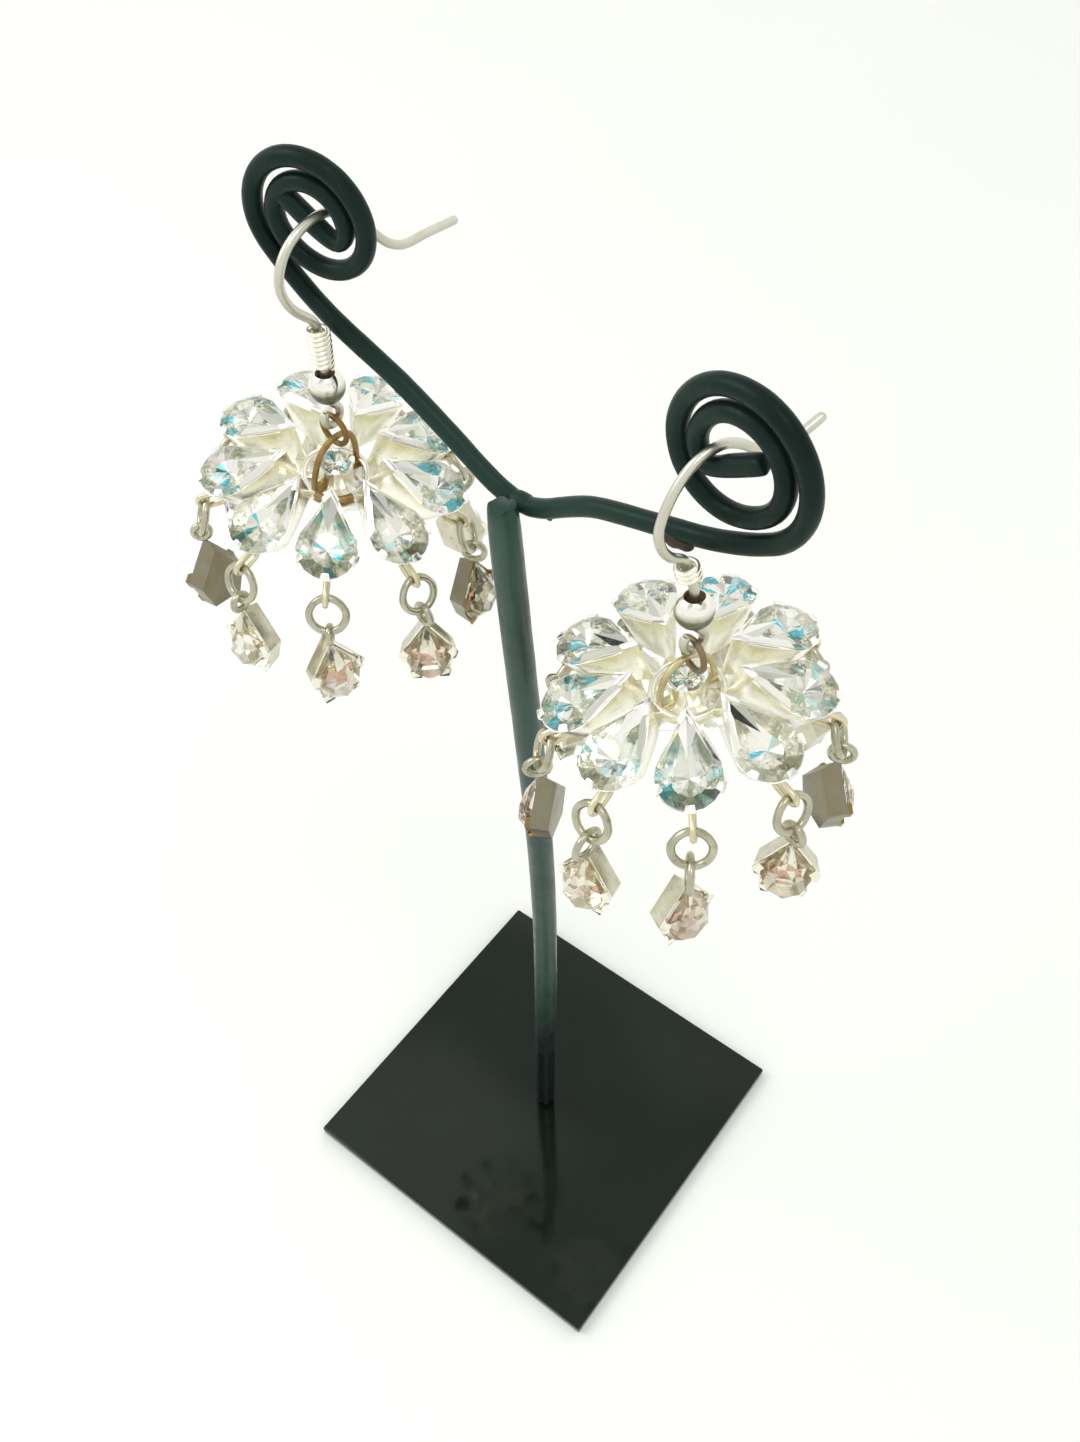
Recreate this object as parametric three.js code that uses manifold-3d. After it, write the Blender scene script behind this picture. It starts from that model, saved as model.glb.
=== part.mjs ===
// A pair of jhumka earrings hooked on a small wire earring stand.
// Each earring is a fish-hook ear wire with a spring coil and a ball bead, a jump ring, a dome of nine
// pear-shaped crystal cups soldered round an open centre, and nine crystal drops on the dome's rim.
// Millimetres, +Z up, +X along the stand's wire, origin in the middle of the base plate's underside.
import * as THREE from 'three';
import { mergeVertices } from 'three/addons/utils/BufferGeometryUtils.js';
import Module from 'manifold-3d';

const wasm = await Module();
wasm.setup();

const { degToRad, lerp, smoothstep } = THREE.MathUtils;

// ---- Stand ----
const PLATE = { side: 44, thickness: 1.5, turn: degToRad(2) };
const POST = {
  radius: 1.25, gap: 0.03, straight: 6,
  top: new THREE.Vector3(0.7, -3.7, 114.45), bow: new THREE.Vector3(1.15, 0.85, 0),
};
const WIRE = { radius: 0.8, y: -1.4, sides: 8, stepsPerMm: 0.52 };
// Each arm climbs from the weld behind the post to its spiral, as [x, z] bends of the wire.
const RIGHT_ARM = {
  name: 'right_arm',
  bends: [
    [0.8, 112.8], [1.6, 112.85], [2.8, 113.4], [4.6, 114.6], [7.4, 116.3], [10.2, 117.1], [14.9, 118.3],
    [18.5, 119.3],
  ],
  spiral: { x: 19.55, z: 126.45, yaw: degToRad(-7), outer: 5.75, inner: 3.9, barTilt: degToRad(33) },
  side: 1,
};
const LEFT_ARM = {
  name: 'left_arm',
  bends: [
    [0.5, 112.8], [-0.6, 112.9], [-2.5, 113.7], [-4.5, 114.9], [-7.4, 116.6], [-11.4, 118.7], [-17.4, 121.1],
    [-20.3, 122.6],
  ],
  spiral: { x: -19.2, z: 129.45, yaw: degToRad(13), outer: 5.05, inner: 3.3, barTilt: degToRad(38) },
  side: -1,
};
const SPIRAL = { start: -50, narrowFrom: 180, narrowTo: 310, end: 560, step: 17, drift: 0.12 };
const REST_BAR = { length: 5.7, inset: 0.75, corner: 0.55 };

// ---- Ear wire, bead and links ----
const HOOK = { radius: 0.375, sides: 6, steps: 60 };
const BEAD = { radius: 1.5, hole: 0.75 };
const COIL = { outer: 0.88, inner: 0.52, clear: 0.2 };
const HOOK_LOOP = { radius: 0.95, below: 2.85, from: degToRad(62), to: degToRad(-222), steps: 10 };
const JUMP_RING = { radius: 1.35, wire: 0.3 };
const LINK_GAP = 0.15;

// ---- Dome of crystal cups ----
const PETALS = 9;
const PETAL_TURN = 2 * Math.PI / PETALS;
const DOME = { radius: 8.77, slope: degToRad(20), sliver: 0.003 };
const CUP = { radius: 2.6, tip: 5.2, rim: 0.2, depth: 3.0, wall: 0.2, floor: 0.4, belly: 0.14 };
const STONE = { clearance: 0.05, tipClearance: 0.1, girdle: 0.3, bevel: 1.0 };
const HUB_RING = { radius: 2.75, wire: 0.45, z: -1.0 };
const HUB_CUP = { radius: 1.5, bottom: -1.45, top: 0.6, pocket: 1.2, pocketDepth: 0.9 };
const HUB_STONE = { radius: 1.1, table: 0.6, bottom: -0.05, girdle: 0.6, top: 1.0 };
const BRIDGE = { width: 0.9, thickness: 0.5, z: -1.15 };
const BAIL = { reach: 2.5, wire: 0.35, play: 0.12 };
const EYE = { radius: 0.75, wire: 0.25, out: 0.7, down: 2.6 };

// ---- Crystal drops on the rim ----
const RIM_RING = { radius: 1.55, wire: 0.33, lean: degToRad(20) };
const DROP_LOOP = { radius: 0.85, wire: 0.3 };
const DROP = { radius: 2.4, tip: 4.6, thickness: 3.2, belly: 0.12 };

// back and up are measured from the bead's centre, in the plane of the hook, tail end first.
const RIGHT = {
  name: 'right',
  bead: new THREE.Vector3(18.1, -3.1, 113.7),
  yaw: degToRad(20),
  lean: degToRad(-6),
  coil: { lean: degToRad(15), from: 1.25, to: 3.0 },
  hook: [
    { back: 10.4, up: 12.1 }, { back: 9.0, up: 11.5 }, { back: 6.9, up: 10.8 }, { back: 5.0, up: 11.5 },
    { back: 3.6, up: 12.5 }, { back: 2.3, up: 13.05 }, { back: 1.0, up: 12.95 }, { back: -0.3, up: 12.35 },
    { back: -1.5, up: 11.15 }, { back: -2.5, up: 9.5 }, { back: -2.95, up: 8.1 }, { back: -2.65, up: 6.5 },
    { back: -1.8, up: 5.45 }, { back: -1.0, up: 5.1 },
  ],
  centre: new THREE.Vector3(18.2, -3.3, 106.2),
  tilt: { x: degToRad(6.9), y: degToRad(-4.5) },
  phase: degToRad(-53.6),
  drops: [
    { turn: 40, sag: 1.1 }, { turn: -48, sag: 0.1 }, { turn: 34, sag: 0.1 }, { turn: 20, sag: 0.4 },
    { turn: -30, sag: 0.2 }, { turn: 10, sag: 0.6 }, { turn: 45, sag: 0.3 }, { turn: -26, sag: 0.2 },
    { turn: 4, sag: 0.9 },
  ],
};
const LEFT = {
  name: 'left',
  bead: new THREE.Vector3(-17.5, -3.65, 116.75),
  yaw: 0,
  lean: degToRad(-0.5),
  coil: { lean: 0, from: 0, to: 3.8 },
  hook: [
    { back: 16.2, up: 6.9 }, { back: 12.6, up: 7.35 }, { back: 10.0, up: 7.6 }, { back: 8.3, up: 8.6 },
    { back: 6.7, up: 10.4 }, { back: 3.7, up: 13.35 }, { back: 2.2, up: 13.85 }, { back: 0.7, up: 13.8 },
    { back: -0.7, up: 13.35 }, { back: -1.8, up: 12.6 }, { back: -2.6, up: 11.45 }, { back: -2.85, up: 10.1 },
    { back: -2.1, up: 8.15 }, { back: -0.9, up: 6.8 }, { back: -0.2, up: 6.1 },
  ],
  centre: new THREE.Vector3(-17.95, -3.8, 108.35),
  tilt: { x: degToRad(2.8), y: degToRad(12.1) },
  phase: degToRad(-50.0),
  drops: [
    { turn: 35, sag: -0.3 }, { turn: -35, sag: 0.2 }, { turn: -20, sag: 0.2 }, { turn: 25, sag: 0.5 },
    { turn: -20, sag: 0.3 }, { turn: 15, sag: 0.2 }, { turn: 50, sag: 0.4 }, { turn: -55, sag: -0.3 },
    { turn: 0, sag: -0.2 },
  ],
};

const blackPaint = () => new THREE.MeshStandardMaterial({ color: 0x1b211f, roughness: 0.38, metalness: 0.3 });
const glossBlack = () => new THREE.MeshStandardMaterial({ color: 0x141615, roughness: 0.12, metalness: 0.1 });
const paleSilver = () => new THREE.MeshStandardMaterial({ color: 0xd9d4bd, roughness: 0.3, metalness: 1.0 });
const steelSilver = () => new THREE.MeshStandardMaterial({ color: 0xb9b5a4, roughness: 0.28, metalness: 1.0 });
const crystal = () => new THREE.MeshStandardMaterial({ color: 0xeaf2f2, roughness: 0.05, metalness: 0.0 });

// A closed mesh becomes a solid once its vertices hold nothing but a place.
function solidOf(geometry) {
  const bare = geometry.clone();
  bare.deleteAttribute('normal');
  bare.deleteAttribute('uv');
  const merged = mergeVertices(bare, 1e-4);
  const vertProperties = new Float32Array(merged.attributes.position.array);
  const triVerts = new Uint32Array(merged.index.array);
  return new wasm.Manifold(new wasm.Mesh({ numProp: 3, vertProperties, triVerts }));
}

function geometryOf(solid) {
  const { vertProperties, triVerts } = solid.getMesh();
  const geometry = new THREE.BufferGeometry();
  geometry.setAttribute('position', new THREE.BufferAttribute(vertProperties, 3));
  geometry.setIndex(new THREE.BufferAttribute(triVerts, 1));
  geometry.computeVertexNormals();
  return geometry;
}

function joined(geometries) {
  return geometryOf(geometries.map(solidOf).reduce((whole, piece) => whole.add(piece)));
}

function piece(name, geometry, material) {
  const mesh = new THREE.Mesh(geometry, material);
  mesh.name = name;
  return mesh;
}

function roundSection(radius, sides) {
  const corners = [];
  for (let i = 0; i < sides; i++) {
    const a = 2 * Math.PI * (i + 0.5) / sides;
    corners.push(new THREE.Vector2(radius * Math.cos(a), radius * Math.sin(a)));
  }
  return new THREE.Shape(corners);
}

function rod(points, radius, sides, steps) {
  const extrudePath = new THREE.CatmullRomCurve3(points, false, 'centripetal');
  return new THREE.ExtrudeGeometry(roundSection(radius, sides), { steps, extrudePath, bevelEnabled: false });
}

// A pear outline about the centre of its round end, with its tip at -x and slightly full sides.
function pearOutline(radius, tip, belly) {
  const touch = Math.PI - Math.acos(radius / tip);
  const points = [];
  const arcSteps = 6;
  for (let i = 0; i <= arcSteps; i++) {
    const a = lerp(-touch, touch, i / arcSteps);
    points.push(new THREE.Vector2(radius * Math.cos(a), radius * Math.sin(a)));
  }
  const half = new THREE.Vector2((radius * Math.cos(touch) - tip) / 2, radius * Math.sin(touch) / 2);
  half.add(new THREE.Vector2(Math.cos(touch), Math.sin(touch)).multiplyScalar(belly));
  points.push(half, new THREE.Vector2(-tip, 0), new THREE.Vector2(half.x, -half.y));
  return new THREE.Shape(points);
}

function prism(outline, bottom, top) {
  const geometry = new THREE.ExtrudeGeometry(outline, { depth: top - bottom, bevelEnabled: false });
  return geometry.translate(0, 0, bottom);
}

// ---- Stand pieces ----
function makePlate() {
  const geometry = new THREE.BoxGeometry(PLATE.side, PLATE.side, PLATE.thickness);
  const plate = piece('base_plate', geometry.translate(0, 0, PLATE.thickness / 2), glossBlack());
  plate.rotation.z = PLATE.turn;
  return plate;
}

function makePost() {
  const foot = new THREE.Vector3(0, 0, PLATE.thickness + POST.gap);
  const upright = foot.clone().setZ(foot.z + POST.straight);
  const middle = foot.clone().lerp(POST.top, 0.5).add(POST.bow);
  return piece('post', rod([foot, upright, middle, POST.top], POST.radius, 12, 14), blackPaint());
}

// The spiral winds inwards from the arm, then the wire's end turns back across it as a rest for the hook.
function spiralPoints({ x, z, yaw, outer, inner, barTilt }, side) {
  const place = (s, up) => new THREE.Vector3(
    x + side * s * Math.cos(yaw), WIRE.y + side * s * Math.sin(yaw), z + up);
  const points = [];
  for (let a = SPIRAL.start; a <= SPIRAL.end; a += SPIRAL.step) {
    const inward = smoothstep(a, SPIRAL.narrowFrom, SPIRAL.narrowTo);
    const radius = lerp(outer, inner, inward);
    const t = degToRad(a);
    points.push(place(radius * Math.cos(t) - SPIRAL.drift * inward, radius * Math.sin(t)));
  }
  const end = degToRad(SPIRAL.end);
  const turnS = (inner - REST_BAR.inset) * Math.cos(end);
  const turnUp = inner * Math.sin(end) - REST_BAR.corner;
  for (const t of [0, 0.3, 0.65, 1]) {
    const along = REST_BAR.length * t;
    points.push(place(turnS + along * Math.cos(barTilt), turnUp + along * Math.sin(barTilt)));
  }
  return points;
}

function makeArm({ name, bends, spiral, side }) {
  const arm = bends.map(([x, z]) => new THREE.Vector3(x, WIRE.y, z));
  const points = [...arm, ...spiralPoints(spiral, side)];
  const length = new THREE.CatmullRomCurve3(points, false, 'centripetal').getLength();
  return piece(name, rod(points, WIRE.radius, WIRE.sides, Math.round(length * WIRE.stepsPerMm)), blackPaint());
}

// ---- Ear wire: x is square to the hook's plane, y is back and z is up from the bead's centre ----
function makeEarWire({ name, coil, hook }) {
  const leanFrom = BEAD.radius + COIL.clear;
  const coilTop = leanFrom + coil.to;
  const leanAt = up => -(up - leanFrom) * Math.tan(coil.lean);
  const points = hook.map(({ back, up }) => new THREE.Vector3(0, back, up));
  for (const up of [coilTop - 0.1, (coilTop + leanFrom) / 2, leanFrom]) {
    points.push(new THREE.Vector3(0, leanAt(up), up));
  }
  points.push(new THREE.Vector3(0, 0, 0), new THREE.Vector3(0, 0, -BEAD.radius));
  for (let i = 0; i <= HOOK_LOOP.steps; i++) {
    const a = lerp(HOOK_LOOP.from, HOOK_LOOP.to, i / HOOK_LOOP.steps);
    const { radius, below } = HOOK_LOOP;
    points.push(new THREE.Vector3(0, radius * Math.cos(a), radius * Math.sin(a) - below));
  }
  return piece(`${name}_ear_wire`, rod(points, HOOK.radius, HOOK.sides, HOOK.steps), steelSilver());
}

// A profile of [radius, height] points turned round the z axis.
function turned(profile, sides) {
  return new THREE.LatheGeometry(profile.map(([r, h]) => new THREE.Vector2(r, h)), sides).rotateX(Math.PI / 2);
}

function makeCoil({ name, coil }) {
  const { inner, outer } = COIL;
  const { from, to, lean } = coil;
  const wall = [[inner, from], [outer, from], [outer, to], [inner, to], [inner, from]];
  const geometry = turned(wall, 12).rotateX(lean);
  return piece(`${name}_coil`, geometry.translate(0, 0, BEAD.radius + COIL.clear), steelSilver());
}

function makeBead({ name }) {
  const rim = Math.asin(BEAD.hole / BEAD.radius);
  const profile = [];
  for (let i = 0; i <= 8; i++) {
    const a = lerp(rim, Math.PI - rim, i / 8);
    profile.push([BEAD.radius * Math.sin(a), -BEAD.radius * Math.cos(a)]);
  }
  profile.push(profile[0]);
  return piece(`${name}_bead`, turned(profile, 16), steelSilver());
}

// ---- Links: their places are worked out in the stand's frame ----
function hookTurn({ yaw, lean }) {
  return new THREE.Euler(0, lean, -yaw, 'ZYX');
}

function loopBottom(earring) {
  const below = new THREE.Vector3(0, 0, -HOOK_LOOP.below - HOOK_LOOP.radius);
  return below.applyEuler(hookTurn(earring)).add(earring.bead);
}

function jumpRingCentre(earring) {
  const seat = HOOK.radius + JUMP_RING.wire + LINK_GAP;
  return loopBottom(earring).add(new THREE.Vector3(0, 0, seat - JUMP_RING.radius));
}

function bailTop(earring) {
  const seat = JUMP_RING.wire + BAIL.wire + LINK_GAP + BAIL.play;
  return jumpRingCentre(earring).add(new THREE.Vector3(0, 0, seat - JUMP_RING.radius));
}

function domeTurn({ tilt }) {
  return new THREE.Euler(tilt.x, tilt.y, 0, 'YXZ');
}

// How high the bail stands over the stones' ring plane to hang from the jump ring.
function bailHeight(earring) {
  const { tilt, centre } = earring;
  return (bailTop(earring).z - centre.z) / (Math.cos(tilt.x) * Math.cos(tilt.y));
}

function makeJumpRing(earring) {
  const geometry = new THREE.TorusGeometry(JUMP_RING.radius, JUMP_RING.wire, 5, 16);
  geometry.rotateX(Math.PI / 2).rotateZ(-earring.yaw);
  const ring = piece(`${earring.name}_jump_ring`, geometry, steelSilver());
  ring.position.copy(jumpRingCentre(earring));
  return ring;
}

// ---- Dome: its own frame has the stones' ring plane at z = 0 ----
// A petal's frame has its stone's round centre at the origin, +x down the slope and +z out of the stone.
function seatPetal(geometry, angle) {
  return geometry.rotateY(DOME.slope).translate(DOME.radius, 0, 0).rotateZ(angle);
}

function cupSolid(angle) {
  const outside = prism(pearOutline(CUP.radius, CUP.tip, CUP.belly), -CUP.depth, CUP.rim);
  const insideTip = CUP.tip * (CUP.radius - CUP.wall) / CUP.radius;
  const inside = prism(pearOutline(CUP.radius - CUP.wall, insideTip, CUP.belly), CUP.floor - CUP.depth, 1);
  const cup = solidOf(seatPetal(outside, angle)).subtract(solidOf(seatPetal(inside, angle)));
  const eye = new THREE.TorusGeometry(EYE.radius, EYE.wire, 4, 8).rotateX(Math.PI / 2);
  return cup.add(solidOf(seatPetal(eye.translate(CUP.radius + EYE.out, 0, -EYE.down), angle)));
}

function bailSolid(earring) {
  const height = bailHeight(earring) - HUB_RING.z;
  const points = [];
  for (let i = 0; i <= 8; i++) {
    const a = Math.PI * i / 8;
    points.push(new THREE.Vector3(0, BAIL.reach * Math.cos(a), HUB_RING.z + height * Math.sin(a)));
  }
  return solidOf(rod(points, BAIL.wire, 6, 10).rotateZ(-earring.yaw));
}

function hubSolid(earring) {
  const ring = new THREE.TorusGeometry(HUB_RING.radius, HUB_RING.wire, 6, 16).translate(0, 0, HUB_RING.z);
  const { radius, bottom, top, pocket, pocketDepth } = HUB_CUP;
  const profile = [[0, bottom], [radius, bottom], [radius, top], [pocket, top], [pocket, top - pocketDepth],
    [0, top - pocketDepth]];
  const cup = turned(profile, 12);
  const bridge = new THREE.BoxGeometry(BRIDGE.width, 2 * HUB_RING.radius, BRIDGE.thickness);
  bridge.translate(0, 0, BRIDGE.z).rotateZ(-earring.yaw);
  return solidOf(ring).add(solidOf(cup)).add(solidOf(bridge)).add(bailSolid(earring));
}

function makeDomeFrame(earring) {
  let frame = hubSolid(earring);
  for (let i = 0; i < PETALS; i++) frame = frame.add(cupSolid(earring.phase + i * PETAL_TURN));
  return piece(`${earring.name}_dome_frame`, geometryOf(frame.simplify(DOME.sliver)), paleSilver());
}

function stoneGeometry() {
  const radius = CUP.radius - CUP.wall - STONE.clearance;
  const outline = pearOutline(radius, CUP.tip * radius / CUP.radius - STONE.tipClearance, CUP.belly);
  return new THREE.ExtrudeGeometry(outline, {
    depth: STONE.girdle, bevelThickness: STONE.bevel, bevelSize: STONE.bevel, bevelOffset: -STONE.bevel,
    bevelSegments: 1,
  });
}

function makeHubStone({ name }) {
  const { radius, table, bottom, girdle, top } = HUB_STONE;
  const profile = [[0, bottom], [radius, girdle], [table, top], [0, top]];
  return piece(`${name}_hub_stone`, turned(profile, 10), crystal());
}

function makeDome(earring) {
  const dome = new THREE.Group();
  dome.position.copy(earring.centre);
  dome.rotation.copy(domeTurn(earring));
  dome.add(makeDomeFrame(earring), makeHubStone(earring));
  for (let i = 0; i < PETALS; i++) {
    const geometry = seatPetal(stoneGeometry(), earring.phase + i * PETAL_TURN);
    dome.add(piece(`${earring.name}_stone_${i}`, geometry, crystal()));
  }
  return dome;
}

// ---- Drop: origin in the rim eye's hole, +x away from the dome's axis, +z up ----
// Its ring leans out from the eye, and the rest hangs plumb from the ring.
function dropGeometry({ turn, sag }) {
  const ring = new THREE.TorusGeometry(RIM_RING.radius, RIM_RING.wire, 5, 10).rotateY(Math.PI / 2);
  ring.translate(0, 0, -RIM_RING.radius).rotateY(-RIM_RING.lean);
  const ringFoot = new THREE.Vector2(Math.sin(RIM_RING.lean), -Math.cos(RIM_RING.lean));
  ringFoot.multiplyScalar(2 * RIM_RING.radius);
  const loopRadius = DROP_LOOP.radius + sag / 2;
  const loopCentre = ringFoot.y - loopRadius + RIM_RING.wire;
  const loop = new THREE.TorusGeometry(loopRadius, DROP_LOOP.wire, 4, 8).rotateX(Math.PI / 2);
  loop.translate(ringFoot.x, 0, loopCentre);
  const outline = pearOutline(DROP.radius, DROP.tip, DROP.belly);
  const cup = prism(outline, -DROP.thickness / 2, DROP.thickness / 2).rotateY(Math.PI / 2);
  cup.rotateZ(degToRad(turn)).translate(ringFoot.x, 0, loopCentre - loopRadius - DROP.tip);
  return joined([ring, loop, cup]);
}

function makeDrop(earring, i) {
  const petal = earring.phase + i * PETAL_TURN;
  const out = CUP.radius + EYE.out;
  const { radius, slope } = DOME;
  const reach = radius + out * Math.cos(slope) - EYE.down * Math.sin(slope);
  const height = -out * Math.sin(slope) - EYE.down * Math.cos(slope);
  const eye = new THREE.Vector3(reach * Math.cos(petal), reach * Math.sin(petal), height);
  const drop = piece(`${earring.name}_drop_${i}`, dropGeometry(earring.drops[i]), steelSilver());
  drop.position.copy(eye.applyEuler(domeTurn(earring)).add(earring.centre));
  drop.rotation.z = petal;
  return drop;
}

function makeEarring(earring) {
  const hook = new THREE.Group();
  hook.position.copy(earring.bead);
  hook.rotation.copy(hookTurn(earring));
  hook.add(makeEarWire(earring), makeCoil(earring), makeBead(earring));
  const whole = new THREE.Group();
  whole.add(hook, makeJumpRing(earring), makeDome(earring));
  for (let i = 0; i < PETALS; i++) whole.add(makeDrop(earring, i));
  return whole;
}

const stand = new THREE.Group();
stand.add(makePlate(), makePost(), makeArm(LEFT_ARM), makeArm(RIGHT_ARM));

const object = new THREE.Group();
object.add(stand, makeEarring(LEFT), makeEarring(RIGHT));

export default object;
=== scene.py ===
import math
import random

import bmesh
import bpy
import numpy as np
from mathutils import Matrix, Vector


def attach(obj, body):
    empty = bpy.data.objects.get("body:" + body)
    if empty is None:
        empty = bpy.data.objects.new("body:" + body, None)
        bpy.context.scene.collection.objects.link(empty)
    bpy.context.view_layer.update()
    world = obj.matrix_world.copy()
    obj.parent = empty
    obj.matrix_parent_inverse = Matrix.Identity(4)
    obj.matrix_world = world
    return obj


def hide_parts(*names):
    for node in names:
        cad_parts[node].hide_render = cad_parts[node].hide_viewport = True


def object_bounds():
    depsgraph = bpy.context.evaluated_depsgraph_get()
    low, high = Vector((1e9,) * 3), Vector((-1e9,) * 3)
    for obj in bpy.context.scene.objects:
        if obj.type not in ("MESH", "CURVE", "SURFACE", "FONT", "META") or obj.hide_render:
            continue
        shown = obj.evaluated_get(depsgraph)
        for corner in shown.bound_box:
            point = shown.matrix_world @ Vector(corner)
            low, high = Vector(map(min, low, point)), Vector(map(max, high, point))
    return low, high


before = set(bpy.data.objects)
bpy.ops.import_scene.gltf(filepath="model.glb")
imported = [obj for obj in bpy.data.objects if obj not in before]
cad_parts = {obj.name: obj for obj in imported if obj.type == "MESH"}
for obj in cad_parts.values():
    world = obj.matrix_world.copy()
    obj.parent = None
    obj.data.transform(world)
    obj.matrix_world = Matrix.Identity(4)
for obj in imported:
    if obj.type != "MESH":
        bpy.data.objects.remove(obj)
cad_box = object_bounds()

MM = 0.001
DEG = math.pi / 180
TO_METRES = Matrix.Scale(MM, 4)
SIDES = ("left", "right")
PETALS = 9

# ---- Sizes in millimetres, turns in radians, and shares of a size ----
# Heights closer than this are one height.
HAIR = 0.01
PLATE_EDGE = 0.22
# A wire's "sides" counts the corners of its section in the CAD.
POST = {"fatten": 0.14, "lumps": 0.07, "sides": 12, "sawn": 0.3, "edge": 0.1}
ARM = {"fatten": 0.08, "lumps": 0.05, "sides": 16}
WELD = {"size": (1.6, 0.86, 0.84), "pits": 0.16, "ripple": 0.7}
SOLDER = {"x": 15.3, "size": (1.5, 0.7, 0.6), "in": 0.35, "up": 0.3, "pits": 0.4, "ripple": 0.9}
# The burrs under the right arm: where each lies, half its length, and the length of its ripples.
BURRS = [(3.4, 0.3, 1.18), (4.9, 0.24, 1.48), (6.1, 0.18, 1.72)]
BURR = {"slim": 0.7, "up": 0.2, "pits": 0.25}
# Over these distances from the post's top, the paint takes its colour by the weld, and the post darkens into
# painted shade at its foot.
NEAR_WELD, NEAR_FOOT = (3, 24), (74, 94)
EAR_WIRE = {"fatten": 0.063, "lumps": 0.0}
BEAD = {"radius": 1.5, "hole": 0.74, "tunnel": 0.925, "pole": 0.8, "edge": 0.07}
COIL = {"wire": 0.2, "radius": 0.78, "pitch": 0.42}
# A ring's "gap" is half the turn that its cut takes.
JUMP_RING = {"radius": 1.35, "wire": 0.25, "gap": 3.5 * DEG, "gap_at": 200 * DEG}
# The floor of a stone's cup is drawn in across, to "foot", and at its round end, to "heel".
CUP = {"radius": 2.6, "depth": 3.0, "rim": 0.2, "wall": 0.2, "pocket": 1.4, "foot": 0.62, "heel": 0.5,
       "belly": 0.045, "edge": 0.07, "lip": 0.12}
# Past each of these places along the cup, its floor is drawn in across once more, to this share.
HEEL_FROM, HEEL_NARROWS = (-0.1, 0.9, 1.8), 0.87
# The share of its mouth that the pocket's floor has, along and across.
POCKET_TAPER = (0.66, 0.6, 1)
# The claws of a stone's cup: where each stands, and half of what its root spans.
CUP_CLAWS = [(0, 0.2), (72 * DEG, 0.16), (-72 * DEG, 0.16), (math.pi, 0.1)]
CLAW = {"rise": 0.34, "reach": 0.5, "bulge": 0.16, "fold": 0.55, "taper": 0.72}
EYE = {"radius": 0.66, "wire": 0.26, "out": 0.7, "down": 2.55, "shank": 1.1}
STONE = {"radius": 2.35, "middle": 0.15, "girdle": 2.52}
# Where the round end of a pear goes over into its straight sides.
TOUCH = 120 * DEG
# Where along a stone its tip is all foil and where its flashes turn plain, and how far out its heart goes.
TIP_FROM = -2.6
PLAIN_FROM = -1.2
HEART = 0.85
HUB_RING = {"radius": 2.75, "wire": 0.32, "z": -1.0}
HUB_CUP = {"radius": 1.5, "bottom": -1.45, "top": 0.6, "wall": 0.28, "pocket": 0.9, "claw": 0.2,
           "edge": 0.06}
HUB_STONE = {"radius": 1.16, "girdle": 0.58}
STAR = {"valley": 3.3, "point": 4.4, "inner": 1.35, "z": -1.75, "rise": 0.5, "lift": 0.5, "sheet": 0.25,
        "edge": 0.05}
BRIDGE = {"width": 0.9, "thickness": 0.5, "z": -1.15, "edge": 0.14}
BAIL = {"reach": 2.5, "wire": 0.27, "below_ring": 0.4}
RIM_RING = {"radius": 1.55, "wire": 0.33, "gap": 3 * DEG, "lean": 20 * DEG, "pinch": 0.975,
            "pinched": (0.3, 0.5, 0.7, 0.9)}
DROP = {"radius": 2.4, "tip": 4.6, "thickness": 3.2, "cup": 1.55, "back": 0.88, "wall": 0.2, "corner": 2.66,
        "pocket_taper": 0.8, "floor": 0.3, "claw": 0.2, "edge": 0.09, "lip": 0.15, "loop_wire": 0.3}
DROP_LIP = DROP["cup"] - DROP["thickness"] / 2
# How far up from its foot a drop's solid is all kite, and how far down from its top it is all ring.
DROP_REACH = {"kite": 4, "ring": 1.2}
# The corners of the drop's kite on one side: the turn from its foot and how far out.
KITE = [(-36 * DEG, DROP["corner"]), (36 * DEG, DROP["corner"]), (108 * DEG, DROP["corner"]),
        (math.pi, DROP["tip"])]

# ---- Age and painted shade: 0 for bright silver, 0.4 for worn, 0.9 for tarnished and for deep painted shade, 1.3 for brown ----
AGE = {"coil": 0.3, "hub_ring": 0.2, "star": 0.1, "eye": 0.7, "drop_wire": 0.6}
# The links and the bail of each earring, then the front of its hub ring, stained and darkened there as a
# painted shadow, and half the turn that this spans.
STAINED = {"left": 1.25, "right": 0.85}
HUB_STAIN_AND_SHADOW = {"left": 1.2, "right": 0.4}
HUB_FRONT = 0.6
# The flats and the lip of a bright and a darkened drop, and which drops are darkened; the darkened drops
# carry tarnish and painted shade together.
BRIGHT_DROP, DARKENED_DROP = (0.45, 0.1), (0.95, 1.2)
DARKENED_DROPS = (2, 7)

# ---- Colours of stain and of the foil's flashes, which are painted reflections and painted fire ----
BROWN_STAIN = (0.30, 0.17, 0.045)
# Shares and colours of the flashes, the plain ones first; beside the foil's own pale and brown colours they
# hold painted reflections and painted fire.
DOME_FLASHES = [
    (50, (0.99, 0.985, 0.93)), (16, (0.93, 0.93, 0.84)), (9, (0.76, 0.77, 0.66)), (3, (0.30, 0.37, 0.32)),
    (10, (0.13, 0.64, 0.80)), (7, (0.58, 0.86, 0.90)), (4, (0.93, 0.84, 0.80)), (3, (0.93, 0.91, 0.78)),
]
DROP_FLASHES = [
    (34, (0.90, 0.87, 0.76)), (26, (0.80, 0.77, 0.64)), (14, (0.68, 0.64, 0.52)), (8, (0.72, 0.52, 0.38)),
    (8, (0.84, 0.72, 0.66)), (1, (0.56, 0.60, 0.84)), (1, (0.34, 0.68, 0.84)), (8, (0.98, 0.97, 0.95)),
]
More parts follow.
